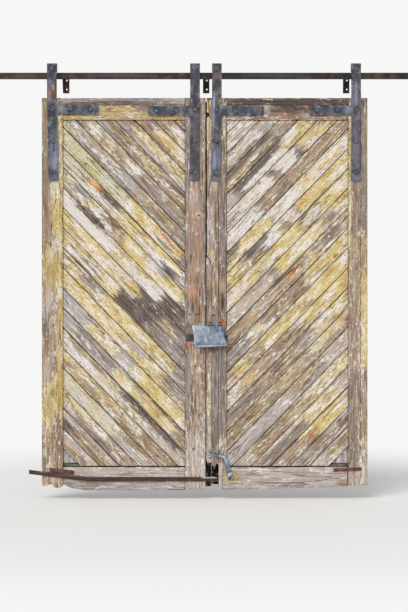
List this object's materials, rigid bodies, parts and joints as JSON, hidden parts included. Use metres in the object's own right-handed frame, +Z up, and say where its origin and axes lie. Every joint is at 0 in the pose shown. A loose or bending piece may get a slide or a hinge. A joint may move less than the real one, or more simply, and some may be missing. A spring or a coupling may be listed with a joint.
{
  "type": "sliding barn door",
  "caption": "Pair of weathered top-hung sliding timber leaves with slanted boards, strap hangers, wheels and a flat wall-mounted rail.",
  "frame": {"origin": "where the middle rail bracket meets the wall, level with the rail's centre line", "axes": "+X to the right along the rail, +Y into the wall, +Z up"},
  "size_m": [4.984, 0.162, 3.287],
  "materials": {
    "frame_timber": "weathered, with remains of straw paint",
    "slanted_boards": "weathered boards, paint worn off in patches",
    "backing_timber": "bare grey wood",
    "strap_steel": "old dark paint over steel, rust at the bolts",
    "rail_steel": "dark oxidised flat bar",
    "rusty_iron": "brown rust all over",
    "wheel_iron": "greased dark iron",
    "old_fasteners": "brown oxidised steel",
    "galvanised_sheet": "dull spangled zinc",
    "galvanised_pipe": "dull zinc, worn at the ends"
  },
  "bodies": {
    "track": {"rail": "rail_steel", "rail_stops": "rail_steel", "stop_bolts": "old_fasteners", "stop_nuts": "old_fasteners", "rail_bracket_far_left": "rail_steel", "rail_bracket_left": "rail_steel", "rail_bracket_middle": "rail_steel", "rail_bracket_right": "rail_steel", "rail_bracket_far_right": "rail_steel"},
    "left_leaf": {"left_outer_stile": "frame_timber", "left_meeting_stile": "frame_timber", "left_top_cap": "frame_timber", "left_top_rail": "frame_timber", "left_bottom_rail": "frame_timber", "left_diagonal_boards": "slanted_boards", "left_backing_boards": "backing_timber", "left_top_ledge": "backing_timber", "left_middle_ledge": "backing_timber", "left_bottom_ledge": "backing_timber", "meeting_cover_strip": "backing_timber", "left_outer_hanger": "strap_steel", "left_inner_hanger": "strap_steel", "left_hanger_bolts": "old_fasteners", "left_hanger_nuts": "old_fasteners", "left_axle_bolts": "old_fasteners", "left_axle_nuts": "old_fasteners", "left_lock_plate": "rusty_iron", "bottom_bar": "rusty_iron", "left_mending_plate": "rusty_iron", "left_screws": "old_fasteners"},
    "right_leaf": {"right_edge_plank": "frame_timber", "right_edge_strip": "frame_timber", "right_inner_plank": "frame_timber", "right_outer_stile": "frame_timber", "right_top_cap": "frame_timber", "right_top_rail": "frame_timber", "right_bottom_rail": "frame_timber", "right_diagonal_boards": "slanted_boards", "right_backing_boards": "backing_timber", "right_top_ledge": "backing_timber", "right_middle_ledge": "backing_timber", "right_bottom_ledge": "backing_timber", "right_inner_hanger": "strap_steel", "right_outer_hanger": "strap_steel", "right_hanger_bolts": "old_fasteners", "right_hanger_nuts": "old_fasteners", "right_axle_bolts": "old_fasteners", "right_axle_nuts": "old_fasteners", "right_lock_plate": "rusty_iron", "hood_hinge_plate": "galvanised_sheet", "hood_hinge_pin": "old_fasteners", "pull_handle": "galvanised_pipe", "right_mending_plate": "rusty_iron", "right_screws": "old_fasteners"},
    "lock_hood": {"lock_hood": "galvanised_sheet"},
    "left_outer_wheel": {"left_outer_wheel": "wheel_iron"},
    "left_inner_wheel": {"left_inner_wheel": "wheel_iron"},
    "right_inner_wheel": {"right_inner_wheel": "wheel_iron"},
    "right_outer_wheel": {"right_outer_wheel": "wheel_iron"}
  },
  "joints": [
    {"name": "left_leaf_slide", "type": "slide", "parent": "track", "child": "left_leaf", "axis": [-1, 0, 0], "range_m": [0, 1.2]},
    {"name": "right_leaf_slide", "type": "slide", "parent": "track", "child": "right_leaf", "axis": [1, 0, 0], "range_m": [0, 1.2]},
    {"name": "hood_hinge", "type": "hinge", "parent": "right_leaf", "child": "lock_hood", "pos_m": [0.07, -0.105, -1.916], "axis": [-1, 0, 0], "range_deg": [0, 90]},
    {"name": "left_outer_wheel_spin", "type": "hinge", "parent": "left_leaf", "child": "left_outer_wheel", "pos_m": [-1.188, -0.08, 0.0522], "axis": [0, 1, 0], "continuous": true},
    {"name": "left_inner_wheel_spin", "type": "hinge", "parent": "left_leaf", "child": "left_inner_wheel", "pos_m": [-0.086, -0.08, 0.0522], "axis": [0, 1, 0], "continuous": true},
    {"name": "right_inner_wheel_spin", "type": "hinge", "parent": "right_leaf", "child": "right_inner_wheel", "pos_m": [0.082, -0.08, 0.0522], "axis": [0, 1, 0], "continuous": true},
    {"name": "right_outer_wheel_spin", "type": "hinge", "parent": "right_leaf", "child": "right_outer_wheel", "pos_m": [1.154, -0.08, 0.0522], "axis": [0, 1, 0], "continuous": true}
  ],
  "couplings": [
    {"joint": "left_outer_wheel_spin", "follows": "left_leaf_slide", "rad_per_m": -37.037},
    {"joint": "left_inner_wheel_spin", "follows": "left_leaf_slide", "rad_per_m": -37.037},
    {"joint": "right_inner_wheel_spin", "follows": "right_leaf_slide", "rad_per_m": 37.037},
    {"joint": "right_outer_wheel_spin", "follows": "right_leaf_slide", "rad_per_m": 37.037}
  ]
}
